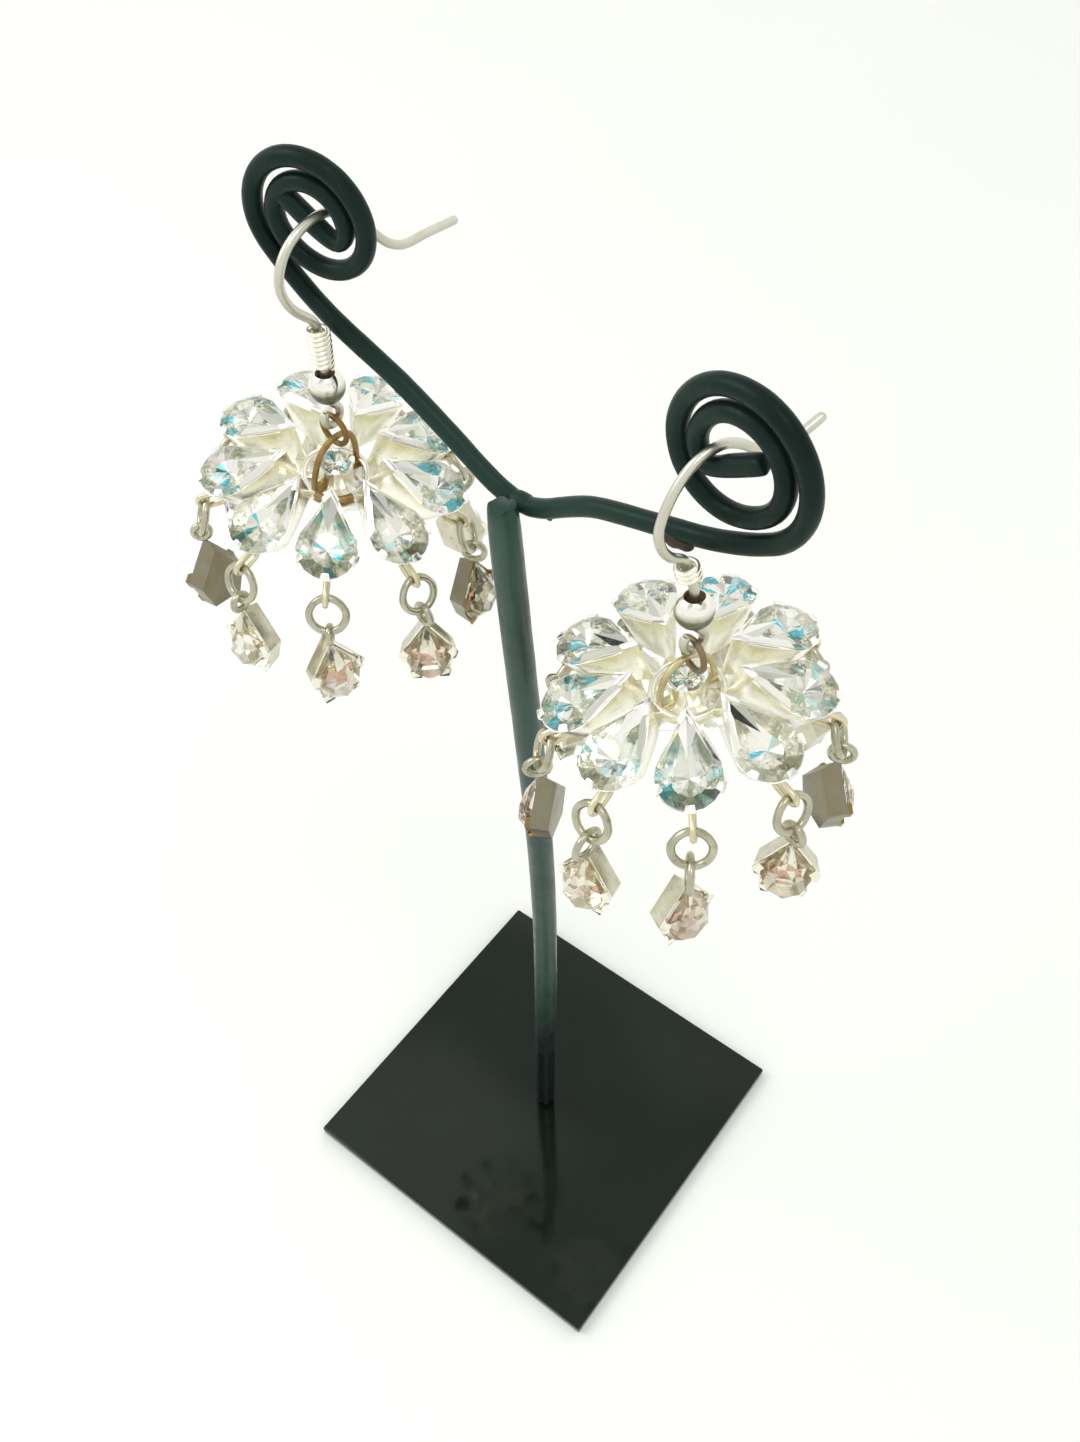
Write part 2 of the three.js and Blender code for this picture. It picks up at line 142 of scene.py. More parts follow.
# The colours in the middle of a drop's foil.
DROP_HEARTS = [(0.62, 0.37, 0.23), (0.72, 0.50, 0.38), (0.66, 0.44, 0.34), (0.88, 0.84, 0.72)]
PLAIN_ONES = 2
# Every flash is darkened by a factor between these.
FLASH_SHADES = (0.88, 1.0)
DOME_SEED, DROP_SEED = 1187, 905


# ---- Working by hand: selection in code, one tool at a time ----
def take_up(*pieces):
    """Select these pieces and nothing else, the first as the active one."""
    bpy.ops.object.select_all(action="DESELECT")
    for piece in pieces:
        piece.select_set(True)
    bpy.context.view_layer.objects.active = pieces[0]


def start(name):
    """An empty mesh, open for shaping."""
    piece = bpy.data.objects.new(name, bpy.data.meshes.new(name))
    bpy.context.scene.collection.objects.link(piece)
    return open_up(piece)


def open_up(piece):
    take_up(piece)
    bpy.ops.object.mode_set(mode="EDIT")
    bpy.ops.mesh.select_mode(type="VERT")
    return piece


def close_up(piece):
    """Back to object mode."""
    bpy.ops.object.mode_set(mode="OBJECT")
    return piece


def pick(piece, kind, test):
    """Select the verts, edges or faces that pass the test, and nothing else."""
    bpy.ops.mesh.select_mode(type={"verts": "VERT", "edges": "EDGE", "faces": "FACE"}[kind])
    bpy.ops.mesh.select_all(action="DESELECT")
    mesh = bmesh.from_edit_mesh(piece.data)
    for element in getattr(mesh, kind):
        if test(element):
            element.select_set(True)
    bmesh.update_edit_mesh(piece.data)


def pick_all():
    bpy.ops.mesh.select_all(action="SELECT")


def fill_ends(piece):
    """Close every open loop of edges with a face."""
    pick(piece, "edges", lambda e: e.is_boundary)
    bpy.ops.mesh.fill_holes(sides=0)


def middle(element):
    return sum((v.co for v in element.verts), Vector()) / len(element.verts)


def turn_of(point):
    return math.atan2(point.y, point.x)


def modify(piece, kind, **settings):
    """Put a modifier on a closed piece and apply it."""
    modifier = piece.modifiers.new(kind.lower(), kind)
    for name, value in settings.items():
        setattr(modifier, name, value)
    bpy.context.view_layer.objects.active = piece
    bpy.ops.object.modifier_apply(modifier=modifier.name)
    return piece


def break_edges(piece, width, segments, angle):
    """Round over the edges that are sharper than this angle, in degrees."""
    modify(piece, "BEVEL", width=width, segments=segments, limit_method="ANGLE", angle_limit=angle * DEG)


def extrude(x=0, y=0, z=0):
    """Draw out what is picked."""
    bpy.ops.mesh.extrude_region_move(TRANSFORM_OT_translate={"value": (x, y, z)})


def tidy_normals():
    """Merge corners that coincide and turn every face outwards."""
    pick_all()
    bpy.ops.mesh.remove_doubles(threshold=0.0005)
    bpy.ops.mesh.normals_make_consistent(inside=False)


def soften(piece, angle):
    """Smooth shading that keeps the edges sharper than this angle, in degrees."""
    take_up(piece)
    bpy.ops.object.shade_smooth_by_angle(angle=angle * DEG)
    return piece


def join(name, pieces):
    """Solder finished pieces into one."""
    take_up(*pieces)
    bpy.ops.object.join()
    whole = bpy.context.view_layer.objects.active
    whole.name = whole.data.name = name
    return whole


def copy_at(pattern, name, place):
    """A copy of a finished pattern with a mesh of its own, set at its place."""
    piece = bpy.data.objects.new(name, pattern.data.copy())
    piece.data.transform(place)
    bpy.context.scene.collection.objects.link(piece)
    return piece


def scrap(*patterns):
    """Throw away patterns that have been copied."""
    for pattern in patterns:
        bpy.data.objects.remove(pattern)


def age(piece, amount):
    """Note how tarnished a piece's metal is, and where a rule paints shade how deep: all over, or by a rule
    on each face's middle and normal.
    """
    layer = piece.data.color_attributes.new("age", "FLOAT_COLOR", "CORNER")
    for face in piece.data.polygons:
        shade = amount(face.center, face.normal) if callable(amount) else amount
        for corner in face.loop_indices:
            layer.data[corner].color = (shade, shade, shade, 1)
    return piece


def fit(piece, body, slot, nodes, *finishes):
    """From millimetres to the frame's metres, painted, and riding on its body."""
    piece.data.transform(TO_METRES)
    if finishes:
        piece.data.materials.clear()
        for finish in finishes:
            piece.data.materials.append(finish)
    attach(piece, body)
    if nodes:
        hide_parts(*nodes)
    return piece


# ---- Where the CAD's nodes lie ----
def corners_of(node):
    """The node's corners in millimetres, each once."""
    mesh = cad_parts[node].data
    flat = np.zeros(len(mesh.vertices) * 3)
    mesh.vertices.foreach_get("co", flat)
    return np.unique(np.round(flat.reshape(-1, 3) / MM, 3), axis=0)


def top_of(node):
    """The middle of a node's top millimetre and a half, in metres."""
    points = corners_of(node)
    return Vector(points[points[:, 2] > points[:, 2].max() - 1.5].mean(0)) * MM


def spread_axes(points):
    """The middle of the points and their three own axes, the shortest spread first."""
    centre = points.mean(0)
    spread, axes = np.linalg.eigh(np.cov((points - centre).T))
    return centre, spread, axes.T


def matrix_of(x, y, z, origin):
    return Matrix([[x[i], y[i], z[i], origin[i]] for i in range(3)] + [[0, 0, 0, 1]])


def stone_seat(node):
    """Origin in the middle of the stone's round end, x away from its tip, z out of its face."""
    points = corners_of(node)
    centre, _, (z, _, x) = spread_axes(points)
    z = z * math.copysign(1, z[2])
    along = (points - centre) @ x
    if along.max() > -along.min():
        x, along = -x, -along
    origin = centre + x * (along.max() - STONE["radius"]) - z * STONE["middle"]
    out = (points - centre) @ z
    origin += z * (out.max() + out.min()) / 2
    return matrix_of(x, np.cross(z, x), z, origin)


def dome_seat(side):
    """The dome's own frame: the middle of its ring of stones, z out of its top."""
    seats = [stone_seat(f"{side}_stone_{i}") for i in range(PETALS)]
    centre = sum((seat.translation for seat in seats), Vector()) / PETALS
    z = sum((seat.col[2].xyz for seat in seats), Vector()).normalized()
    x = seats[0].col[0].xyz
    x = (x - z * x.dot(z)).normalized()
    return matrix_of(x, z.cross(x), z, centre)


def round_seat(node):
    """The middle of a turned node, its axis as z, and its length along it."""
    points = corners_of(node)
    centre, spread, axes = spread_axes(points)
    axis = axes[0] if spread[1] - spread[0] > spread[2] - spread[1] else axes[2]
    z = Vector(axis * math.copysign(1, axis[2]))
    x = Vector((0, 1, 0)).cross(z).normalized()
    along = (points - centre) @ np.array(z)
    return matrix_of(x, z.cross(x), z, centre), along.max() - along.min()


def ring_foot():
    """Where the lowest point of the leaning ring's wire lies: how far out and how far down."""
    across = 2 * RIM_RING["radius"]
    return across * math.sin(RIM_RING["lean"]), across * math.cos(RIM_RING["lean"])


def drop_seat(side, i, dome):
    """Origin in the ring's wire at its top, x away from the dome; with the loop's radius and face's turn."""
    node = f"{side}_drop_{i}"
    points = corners_of(node)
    low, high = points.min(0), points.max(0)
    body = points[points[:, 2] < low[2] + DROP_REACH["kite"]]
    plumb = Vector((body.min(0) + body.max(0)) / 2)
    away = plumb - dome.translation
    ring = points[points[:, 2] > high[2] - DROP_REACH["ring"]]
    _, _, flat_axes = spread_axes(ring[:, :2])
    x = Vector((*flat_axes[0], 0))
    x = x * math.copysign(1, x.dot(away))
    z = Vector((0, 0, 1))
    out, down = ring_foot()
    over = RIM_RING["wire"] * math.cos(RIM_RING["lean"])
    origin = plumb - x * out
    origin.z = high[2] - over
    seat = matrix_of(x, z.cross(x), z, origin)
    plain = over + down - RIM_RING["wire"] + DROP["tip"] + DROP["radius"]
    upright = [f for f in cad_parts[node].data.polygons if abs(f.normal.z) < 0.01]
    face = max(upright, key=lambda f: f.area).normal.copy()
    face = face * math.copysign(1, face.dot(away))
    turn = math.atan2(face.dot(z.cross(x)), face.dot(x))
    return seat, (high[2] - low[2] - plain) / 2, turn


# ---- Shader maths: arithmetic on a signal adds its nodes ----
class Signal:
    """A socket in a tree of nodes, or the tree alone."""

    def __init__(self, tree, socket=None):
        self.tree, self.socket = tree, socket

    def node(self, kind, settings=None, values=None, out=0):
        """Any node: its settings first, then its sockets' values or links."""
        made = self.tree.nodes.new(kind)
        for name, value in (settings or {}).items():
            if name == "stops":
                lay_stops(made.color_ramp, value)
            else:
                setattr(made, name, value)
        for name, value in (values or {}).items():
            if isinstance(value, Signal):
                self.tree.links.new(value.socket, made.inputs[name])
            else:
                made.inputs[name].default_value = value
        return Signal(self.tree, made.outputs[out] if made.outputs else None)

    def maths(self, operation, first, second):
        return self.node("ShaderNodeMath", {"operation": operation}, {0: first, 1: second})

    def __add__(self, other):
        return self.maths("ADD", self, other)

    def __sub__(self, other):
        return self.maths("SUBTRACT", self, other)

    def __rsub__(self, other):
        return self.maths("SUBTRACT", other, self)

    def __mul__(self, other):
        return self.maths("MULTIPLY", self, other)

    __radd__, __rmul__ = __add__, __mul__

    def over(self, low, high):
        """0 below low, 1 above high, and a soft step between."""
        return self.node("ShaderNodeMapRange", {"interpolation_type": "SMOOTHSTEP"},
                         {0: self, 1: low, 2: high, 3: 0.0, 4: 1.0})


def lay_stops(ramp, stops):
    """Lay a colour ramp's stops, each a position and a colour."""
    while len(ramp.elements) < len(stops):
        ramp.elements.new(1.0)
    for element, (position, colour) in zip(ramp.elements, stops):
        element.position, element.color = position, (*colour, 1)


def begin_finish(name):
    """A new material: its own tree, the place on the piece in metres, and a way to add noise."""
    material = bpy.data.materials.new(name)
    material.use_nodes = True
    tree = material.node_tree
    tree.nodes.clear()
    signal = Signal(tree)
    place = signal.node("ShaderNodeTexCoord", out=3)
    return material, signal, place


def noise(place, size, detail=3.0, rough=0.55):
    """Noise whose blots are about this many millimetres across."""
    values = {"Vector": place, "Scale": 1 / (size * MM), "Detail": detail, "Roughness": rough}
    return place.node("ShaderNodeTexNoise", None, values)


def mixed(mask, first, second):
    """One colour going over into another, by a mask."""
    settings = {"data_type": "RGBA"}
    colours = [c if isinstance(c, Signal) else (*c, 1) for c in (first, second)]
    return mask.node("ShaderNodeMix", settings, {0: mask, 6: colours[0], 7: colours[1]}, out=2)


def bumped(height, depth):
    """A normal for relief of this depth in millimetres."""
    return height.node("ShaderNodeBump", None, {"Strength": 1.0, "Distance": depth * MM, "Height": height})


def finish_with(material, signal, values):
    """Close a material with its shader's values."""
    shader = signal.node("ShaderNodeBsdfPrincipled", None, values)
    signal.node("ShaderNodeOutputMaterial", None, {"Surface": shader})
    return material


def past_post_top(place, reach):
    """From 0 to 1 between two distances from the post's top, in millimetres."""
    ends = {0: place, 1: top_of("post")}
    away = place.node("ShaderNodeVectorMath", {"operation": "DISTANCE"}, ends, out=1)
    return away.over(*(distance * MM for distance in reach))


def satin_black_paint(name, deep, thin, gloss, sheen, by_weld=None, painted_shade_at_foot=None):
    """Dipped black paint with a slate-green sheen, gathered in small lumps, with a colour by the weld and
    painted shade at the post's foot where these are given.
    """
    material, signal, place = begin_finish(name)
    cloud, lumps, dust = noise(place, 9, 2), noise(place, 1.6, 4), noise(place, 0.35, 2)
    colour = mixed(cloud.over(0.35, 0.7), deep, thin)
    if by_weld:
        colour = mixed(past_post_top(place, NEAR_WELD), by_weld, colour)
    # Painted shade: darker towards the post's foot, where its gloss would show the black plate.
    if painted_shade_at_foot:
        colour = mixed(past_post_top(place, NEAR_FOOT), colour, painted_shade_at_foot)
    colour = mixed(dust.over(0.66, 0.82) * 0.4, colour, (0.06, 0.08, 0.07))
    rough = 0.3 + lumps.over(0.3, 0.75) * 0.14
    height = lumps * 0.8 + dust * 0.2
    return finish_with(material, signal, {
        "Base Color": colour, "Roughness": rough, "IOR": 1.5, "Specular IOR Level": gloss,
        "Specular Tint": (*sheen, 1), "Normal": bumped(height, 0.03)})


def gloss_black_plate():
    """A lacquered plate: deep gloss with a faint orange-peel and hairline rubs."""
    material, signal, place = begin_finish("gloss_black_plate")
    peel, rubs, haze = noise(place, 2.5, 2), noise(place, 0.5, 3), noise(place, 14, 3)
    colour = mixed(haze.over(0.3, 0.7), (0.0005, 0.003, 0.0015), (0.002, 0.006, 0.004))
    rough = 0.06 + haze.over(0.35, 0.8) * 0.06 + rubs.over(0.6, 0.85) * 0.05
    return finish_with(material, signal, {
        "Base Color": colour, "Roughness": rough, "IOR": 1.5, "Specular IOR Level": 0.46,
        "Specular Tint": (0.9, 1.0, 0.94, 1), "Normal": bumped(peel, 0.01)})


def silver_finish(name, bright, worn, tarnish_and_shade, rough, mottle=1.0):
    """Plated silver, from bright through worn to olive-brown tarnish as its age goes up; the same ramp
    paints shade where a piece carries painted shade.
    """
    material, signal, place = begin_finish(name)
    patches, spots, grain = noise(place, 1.8, 3), noise(place, 0.7, 5, 0.65), noise(place, 0.12, 2)
    age = signal.node("ShaderNodeVertexColor", {"layer_name": "age"})
    wear_and_shade = age + (patches - 0.5) * (0.5 * mottle) + spots.over(0.56, 0.8) * (0.35 * mottle)
    stops = [(0.05, bright), (0.27, worn), (0.6, tarnish_and_shade), (0.9, BROWN_STAIN)]
    colour = signal.node("ShaderNodeValToRGB", {"stops": stops}, {"Fac": wear_and_shade * 0.67})
    return finish_with(material, signal, {
        "Base Color": colour, "Metallic": 1.0, "Roughness": rough + wear_and_shade * 0.2,
        "Normal": bumped(grain * 0.6 + spots * 0.4, 0.012)})


def bead_hole_tarnish():
    """Brown oxide inside the bead's hole."""
    material, signal, place = begin_finish("brown_oxide")
    spots = noise(place, 0.4, 4)
    colour = mixed(spots.over(0.35, 0.7), (0.30, 0.20, 0.10), (0.58, 0.46, 0.28))
    rough = 0.42 + spots * 0.2
    return finish_with(material, signal, {
        "Base Color": colour, "Metallic": 0.8, "Roughness": rough, "Normal": bumped(spots, 0.02)})


def crystal_glass():
    """The cut crown of a stone: clear lead glass with a trace of polish marks."""
    material, signal, place = begin_finish("crystal_glass")
    polish = noise(place, 0.6, 3)
    colour = mixed(polish.over(0.4, 0.7), (1.0, 1.0, 0.96), (1.0, 1.0, 1.0))
    return finish_with(material, signal, {
        "Base Color": colour, "Roughness": polish.over(0.5, 0.9) * 0.03, "IOR": 1.56,
        "Transmission Weight": 1.0, "Normal": bumped(polish, 0.0015)})


def stone_foil():
    """The mirror foil behind a stone, each facet with its own flash of colour, which paints reflections and
    fire onto the foil.
    """
    material, signal, place = begin_finish("stone_foil")
    flash = signal.node("ShaderNodeVertexColor", {"layer_name": "flash"})
    crease = noise(place, 0.5, 3)
    colour = mixed(crease.over(0.5, 0.85) * 0.2, flash, (0.72, 0.73, 0.70))
    return finish_with(material, signal, {
        "Base Color": colour, "Metallic": 1.0, "Roughness": 0.11 + crease.over(0.5, 0.85) * 0.1,
        "Normal": bumped(crease, 0.004)})


# The post's paint is darkened towards its foot as painted shade.
POST_BLACK = satin_black_paint("post_black_paint", (0.004, 0.019, 0.014), (0.011, 0.036, 0.026), 0.78,
                               (0.66, 1.0, 0.87), painted_shade_at_foot=(0.001, 0.002, 0.002))
ARM_BLACK = satin_black_paint("arm_black_paint", (0.003, 0.009, 0.007), (0.009, 0.022, 0.018), 0.15,
                              (0.8, 1.0, 0.93), by_weld=(0.016, 0.040, 0.031))
BURNT = satin_black_paint("burnt_solder", (0.016, 0.010, 0.006), (0.06, 0.035, 0.018), 0.5, (1.0, 0.9, 0.8))
GLOSS = gloss_black_plate()
WIRE_SILVER = silver_finish("ear_wire_silver", (0.82, 0.81, 0.71), (0.56, 0.55, 0.45), (0.26, 0.20, 0.11),
                            0.27, mottle=0.4)
# The bead's darkest colour serves as painted shade on its underside.
BEAD_SILVER = silver_finish("bead_silver", (0.95, 0.93, 0.86), (0.62, 0.60, 0.47), (0.12, 0.12, 0.085), 0.14)
CUP_SILVER = silver_finish("cup_silver", (1.0, 0.99, 0.95), (0.97, 0.95, 0.80), (0.58, 0.50, 0.27), 0.2)
DROP_SILVER = silver_finish("drop_silver", (0.93, 0.91, 0.80), (0.66, 0.63, 0.49), (0.26, 0.25, 0.18), 0.14)
OXIDE = bead_hole_tarnish()
GLASS = crystal_glass()
FOIL = stone_foil()


# ---- Stand ----
def own_copy(node, name):
    """A copy of a CAD node in millimetres, merged, with its faces put back as quads."""
    piece = bpy.data.objects.new(name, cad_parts[node].data.copy())
    piece.data.transform(TO_METRES.inverted())
    piece.data.materials.clear()
    bpy.context.scene.collection.objects.link(piece)
    open_up(piece)
    pick_all()
    bpy.ops.mesh.remove_doubles(threshold=0.001)
    bpy.ops.mesh.tris_convert_to_quads(face_threshold=28 * DEG, shape_threshold=70 * DEG)
    return piece


def drawn_wire(node, name, size):
    """A round wire made smooth from the CAD's faceted one, with its full thickness given back."""
    piece = close_up(own_copy(node, name))
    modify(piece, "SUBSURF", levels=2, render_levels=2)
    open_up(piece)
    pick_all()
    bpy.ops.transform.shrink_fatten(value=size["fatten"])
    close_up(piece)
    if size["lumps"]:
        texture = bpy.data.textures.new("paint_lumps", "CLOUDS")
        texture.noise_scale = 2.4
        modify(piece, "DISPLACE", texture=texture, strength=size["lumps"], mid_level=0.5)
    take_up(piece)
    bpy.ops.object.shade_smooth()
    return piece


def make_plate():
    """The square base plate, its edges just broken."""
    piece = close_up(own_copy("base_plate", "lacquered_plate"))
    break_edges(piece, PLATE_EDGE, 4, 40)
    soften(piece, 50)
    return fit(piece, "stand", "gloss_black", ["base_plate"], GLOSS)


def end_of(node, sides, low=False):
    """The middle of a wire's last section and its direction there."""
    points = corners_of(node)
    points = points[np.argsort(points[:, 2] if low else -points[:, 2])]
    last, before = Vector(points[:sides].mean(0)), Vector(points[sides:2 * sides].mean(0))
    return last, (last - before).normalized()


def saw_off(piece, last, along):
    """Saw the wire's end off square and take the burr off its edge."""
    open_up(piece)
    pick_all()
    cut = last - along * POST["sawn"]
    bpy.ops.mesh.bisect(plane_co=cut, plane_no=along, use_fill=True, clear_outer=True)
    close_up(piece)
    break_edges(piece, POST["edge"], 2, 60)
    return soften(piece, 35)


def lump(name, place, size, pits, ripple):
    """A runny lump of weld: a ball drawn out of round, with pits this deep in ripples this long."""
    piece = start(name)
    bpy.ops.mesh.primitive_ico_sphere_add(subdivisions=4, radius=1, location=place)
    bpy.ops.transform.resize(value=size, center_override=place)
    close_up(piece)
    texture = bpy.data.textures.new("weld_ripples", "CLOUDS")
    texture.noise_scale = ripple
    modify(piece, "DISPLACE", texture=texture, strength=pits, mid_level=0.5)
    return soften(piece, 80)


def beside(points, x):
    """The points within a millimetre of this x."""
    return points[abs(points[:, 0] - x) < 1.0]


def make_welds():
    """The weld that runs both arms together behind the post, the burrs by it, and the burnt solder."""
    left_foot, right_foot = (end_of(f"{side}_arm", ARM["sides"], low=True)[0] for side in SIDES)
    weld = lump("weld", (left_foot + right_foot) / 2, WELD["size"], WELD["pits"], WELD["ripple"])
    right = corners_of("right_arm")
    burrs = []
    for x, long, ripple in BURRS:
        near = beside(right, x)
        under = Vector((x, near[:, 1].mean(), near[:, 2].min() + BURR["up"]))
        size = (long, long * BURR["slim"], long * BURR["slim"])
        burrs.append(lump("burr", under, size, BURR["pits"], ripple))
    fit(join("weld_and_burrs", [weld, *burrs]), "stand", "black_paint", [], ARM_BLACK)
    near = beside(right, SOLDER["x"])
    # Only the wire's lowest run at that place, without the spiral above it.
    near = near[near[:, 2] < near[:, 2].min() + 1.5]
    under = Vector((SOLDER["x"], near[:, 1].min() + SOLDER["in"], near[:, 2].min() + SOLDER["up"]))
    solder = lump("burnt_solder", under, SOLDER["size"], SOLDER["pits"], SOLDER["ripple"])
    fit(solder, "stand", "black_paint", [], BURNT)


def make_stand():
    """The plate, the post, both arms with their spirals, and the welds."""
    make_plate()
    post = drawn_wire("post", "painted_post", POST)
    top, along = end_of("post", POST["sides"])
    saw_off(post, top, along)
    fit(post, "stand", "black_paint", ["post"], POST_BLACK)
    for side in SIDES:
        arm = drawn_wire(f"{side}_arm", f"{side}_painted_arm", ARM)
        fit(arm, "stand", "black_paint", [f"{side}_arm"], ARM_BLACK)
    make_welds()


# ---- Ear wires and links ----
def make_bead_pattern():
    """A ball with its poles cut away and the cut edges bridged into a hole."""
    bead = start("bead_pattern")
    radius = BEAD["radius"]
    bpy.ops.mesh.primitive_uv_sphere_add(segments=40, ring_count=28, radius=radius)
    pole = BEAD["pole"]
    pick(bead, "faces", lambda f: math.hypot(*middle(f).xy) < BEAD["hole"] and abs(middle(f).z) > pole)
    bpy.ops.mesh.delete(type="FACE")
    pick(bead, "edges", lambda e: e.is_boundary)
    bpy.ops.mesh.bridge_edge_loops()
    pick(bead, "faces", lambda f: math.hypot(*middle(f).xy) < BEAD["tunnel"] and abs(f.normal.z) < 0.3)
    bead.data.materials.append(BEAD_SILVER)
    bead.data.materials.append(OXIDE)
    bead.active_material_index = 1
    bpy.ops.object.material_slot_assign()
    tidy_normals()
    close_up(bead)
    break_edges(bead, BEAD["edge"], 3, 40)
    # Painted shade: bright on top and dark below, where the bead would mirror what lies under it.
    age(bead, lambda spot, normal: min(0.85, max(0.0, 0.7 - 1.7 * normal.z)))
    return soften(bead, 40)


def make_coil(name, length):
    """A close-wound spring: a round section screwed up its axis, with closed ends."""
    coil = start(name)
    bpy.ops.mesh.primitive_circle_add(vertices=10, radius=COIL["wire"], location=(COIL["radius"], 0, 0),
                                      rotation=(math.pi / 2, 0, 0))
    close_up(coil)
    turns = max(1, round((length - 2 * COIL["wire"]) / COIL["pitch"]))
    pitch = (length - 2 * COIL["wire"]) / turns
    modify(coil, "SCREW", axis="Z", angle=2 * math.pi, screw_offset=pitch, iterations=turns, steps=22,
           render_steps=22, use_merge_vertices=False)
    open_up(coil)
    fill_ends(coil)
    pick_all()
    bpy.ops.transform.translate(value=(0, 0, -pitch * turns / 2))
    tidy_normals()
    return soften(close_up(coil), 60)


def make_ring(name, size, steps):
    """A wire ring in the x-y plane, sawn through at one place if its size has a gap."""
    ring = start(name)
    bpy.ops.mesh.primitive_torus_add(major_radius=size["radius"], minor_radius=size["wire"],
                                     major_segments=steps, minor_segments=12)
    if bpy.context.mode == "OBJECT":
        open_up(ring)
    if "gap" in size:
        pick(ring, "faces", lambda f: abs(turn_of(middle(f))) < size["gap"])
        bpy.ops.mesh.delete(type="FACE")
        fill_ends(ring)
    tidy_normals()
    close_up(ring)
    break_edges(ring, size["wire"] * 0.2, 2, 60)
    return soften(ring, 45)


def make_links():
    """Each earring's ear wire with its bead and coil, and its jump ring."""
    bead_pattern = make_bead_pattern()
    ring_pattern = make_ring("jump_ring_pattern", JUMP_RING, 48)
    turned = Matrix.Rotation(JUMP_RING["gap_at"], 4, "Z")
    for side in SIDES:
        wire = drawn_wire(f"{side}_ear_wire", f"{side}_bent_ear_wire", EAR_WIRE)
        # Painted light: a little brighter on the side that looks up and darker on the side that looks down,
        # over an even tarnish.
        age(wire, lambda spot, normal: 0.35 - 0.2 * normal.z)
        fit(wire, "stand", "ear_wire_silver", [f"{side}_ear_wire"], WIRE_SILVER)
        seat, _ = round_seat(f"{side}_bead")
        bead = copy_at(bead_pattern, f"{side}_ball_bead", seat)
        fit(bead, "stand", "ear_wire_silver", [f"{side}_bead"])
        seat, length = round_seat(f"{side}_coil")
        coil = make_coil(f"{side}_spring_coil", length)
        coil.data.transform(seat)
        age(coil, AGE["coil"])
        fit(coil, "stand", "ear_wire_silver", [f"{side}_coil"], CUP_SILVER)
        seat, _ = round_seat(f"{side}_jump_ring")
        ring = copy_at(ring_pattern, f"{side}_wire_jump_ring", seat @ turned)
        age(ring, STAINED[side])
        fit(ring, f"{side}_link", "ear_wire_silver", [f"{side}_jump_ring"], WIRE_SILVER)
    scrap(bead_pattern, ring_pattern)


# ---- Pear outlines, stones and cups ----
def pear(turn, belly=0.0):
    """How far a round outline is stretched at this turn to make a pear with its tip at -x."""
    if turn <= TOUCH + 0.01:
        return 1
    past = (turn - TOUCH) / (math.pi - TOUCH)
    return (1 + belly * math.sin(math.pi * past)) / math.cos(turn - TOUCH)


def kite(turn):
    """How far a round outline is stretched at this turn to make the drop's straight-sided kite."""
    (a, near), (b, far) = next(pair for pair in zip(KITE, KITE[1:]) if turn <= pair[1][0] + 0.001)
    reach = near * far * math.sin(b - a) / (near * math.sin(turn - a) + far * math.sin(b - turn))
    return reach / DROP["radius"]


def draw_out(piece, height, outline):
    """Turn the ring of corners at this height into another outline, a pair of corners at a time."""
    mesh = bmesh.from_edit_mesh(piece.data)
    turns = sorted({round(abs(turn_of(v.co)), 3) for v in mesh.verts if abs(v.co.z - height) < HAIR})
    for turn in turns:
        pick(piece, "verts", lambda v: abs(v.co.z - height) < HAIR
             and abs(abs(turn_of(v.co)) - turn) < 0.004)
        stretch = outline(turn)
        bpy.ops.transform.resize(value=(stretch, stretch, 1), center_override=(0, 0, height))


def add_ring(piece, count, radius, height, turn, outline):
    """A ring of corners whose first lies at this turn from +x, round or drawn out to an outline."""
    bpy.ops.mesh.primitive_circle_add(vertices=count, radius=radius, location=(0, 0, height),
                                      rotation=(0, 0, turn - math.pi / 2))
    if outline:
        draw_out(piece, height, outline)


def make_stone(name, rings, culet, tip_from=-math.inf):
    """A cut stone: its rings of corners drawn tight into flat facets, glass above the girdle, foil below it,
    and all foil towards the tip from tip_from on."""
    stone = start(name)
    for ring in rings:
        add_ring(stone, *ring)
    bpy.ops.mesh.primitive_circle_add(vertices=3, radius=0.02, location=(0, 0, culet))
    pick_all()
    bpy.ops.mesh.convex_hull(delete_unused=True, use_existing_faces=False, make_holes=False)
    pick_all()
    bpy.ops.mesh.dissolve_limited(angle_limit=1.5 * DEG)
    tidy_normals()
    stone.data.materials.append(GLASS)
    stone.data.materials.append(FOIL)
    girdle_low = rings[0][2]
    pick(stone, "faces", lambda f: middle(f).x < tip_from or f.normal.z < -0.1 and middle(f).z < girdle_low)
    stone.active_material_index = 1
    bpy.ops.object.material_slot_assign()
    return close_up(stone)


def colour_flashes(stone, pattern, rng, palette, hearts=()):
    """Give every facet a flash of painted reflection and fire, plain towards the tip and, with hearts, one
    of theirs in the middle.
    """
    layer = stone.data.color_attributes.new("flash", "FLOAT_COLOR", "CORNER")
    shares = [share for share, _ in palette]
    for face, cut in zip(stone.data.polygons, pattern.data.polygons):
        colour = rng.choices(palette, shares)[0][1]
        if cut.center.x < PLAIN_FROM:
            colour = palette[rng.randrange(PLAIN_ONES)][1]
        elif hearts and cut.center.xy.length < HEART:
            colour = rng.choice(hearts)
        shade = rng.uniform(*FLASH_SHADES)
        for corner in face.loop_indices:
            layer.data[corner].color = (*(c * shade for c in colour), 1)
    return stone


